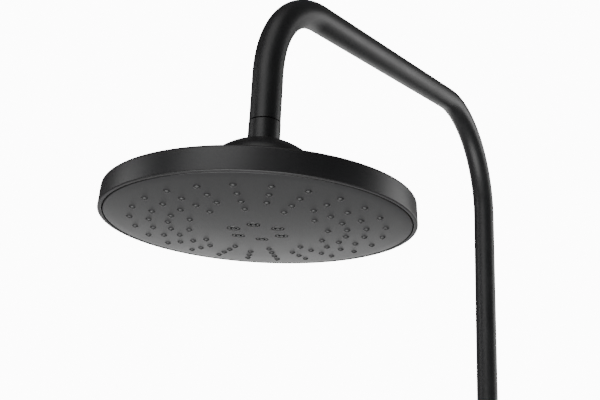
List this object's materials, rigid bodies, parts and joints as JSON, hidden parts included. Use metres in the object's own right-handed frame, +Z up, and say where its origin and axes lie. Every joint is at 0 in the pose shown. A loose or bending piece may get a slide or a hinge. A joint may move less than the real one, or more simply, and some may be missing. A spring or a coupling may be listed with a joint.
{
  "type": "rainfall shower column",
  "caption": "Wall-held shower column: a telescopic riser with a swan-neck arm, a round rain head on a ball joint and a diverter at its foot.",
  "frame": {"origin": "on the supply inlet's axis, at the wall's face", "axes": "+Z up, +Y into the wall, -Y into the room, the arm reaches towards -Y"},
  "size_m": [0.2, 0.616, 1.1455],
  "materials": {
    "black_metal": "satin black powder coat",
    "black_plastic": "satin black moulded plastic",
    "rubber_black": "matte black silicone",
    "brass": "turned",
    "steel": "plain",
    "white_plastic": "natural moulded plastic"
  },
  "bodies": {
    "column": {"riser_lower": "black_metal", "bracket_ring": "black_metal", "bracket_rose": "black_metal", "bracket_plate": "steel", "bracket_grub_screws": "steel", "collet": "white_plastic", "diverter_body": "black_metal", "inlet_tail": "brass", "inlet_rose": "black_metal", "inlet_rose_seal": "rubber_black", "riser_nut": "black_metal", "riser_seal": "rubber_black", "hose_outlet": "brass", "check_valve": "white_plastic", "cartridge": "white_plastic", "cartridge_ring": "brass"},
    "collar": {"lock_collar": "black_metal"},
    "diverter": {"diverter_stem": "brass", "ceramic_disc": "white_plastic", "diverter_knob": "black_metal", "knob_screw": "steel", "knob_cap": "black_metal"},
    "carriage": {"guide_bush": "white_plastic"},
    "arm": {"arm_tube": "black_metal", "tube_plug": "brass", "tube_o_rings": "rubber_black", "arm_nipple": "brass", "swivel_sleeve": "black_metal", "ball_stud": "brass", "inlet_washer": "rubber_black", "flow_regulator": "white_plastic", "filter_screen": "steel"},
    "ball_seats": {"seat_lower": "white_plastic", "seat_upper": "white_plastic"},
    "head": {"head_shell": "black_plastic", "dome_cover": "black_plastic", "socket_body": "white_plastic", "socket_seal": "rubber_black", "retaining_collar": "brass", "hub_screws": "steel", "chamber_plate": "white_plastic", "face_plate": "black_plastic", "nozzle_mat": "rubber_black", "jet_inserts": "black_plastic", "face_seal": "rubber_black"}
  },
  "joints": [
    {"name": "riser_slide", "type": "slide", "parent": "column", "child": "carriage", "axis": [0, 0, 1], "range_m": [-0.2, 0.08]},
    {"name": "arm_swing", "type": "hinge", "parent": "carriage", "child": "arm", "pos_m": [0, -0.06, 0.5], "axis": [0, 0, 1], "range_deg": [-75, 75]},
    {"name": "head_turn", "type": "hinge", "parent": "arm", "child": "ball_seats", "pos_m": [0, -0.498, 0.9065], "axis": [0, 0, 1], "continuous": true},
    {"name": "head_tilt", "type": "hinge", "parent": "ball_seats", "child": "head", "pos_m": [0, -0.498, 0.9065], "axis": [1, 0, 0], "range_deg": [-7, 7]},
    {"name": "collar_turn", "type": "hinge", "parent": "column", "child": "collar", "pos_m": [0, -0.06, 0.64], "axis": [0, 0, 1], "range_deg": [0, 180]},
    {"name": "diverter_turn", "type": "hinge", "parent": "column", "child": "diverter", "pos_m": [0, -0.06, 0], "axis": [0, -1, 0], "range_deg": [-90, 90]}
  ]
}
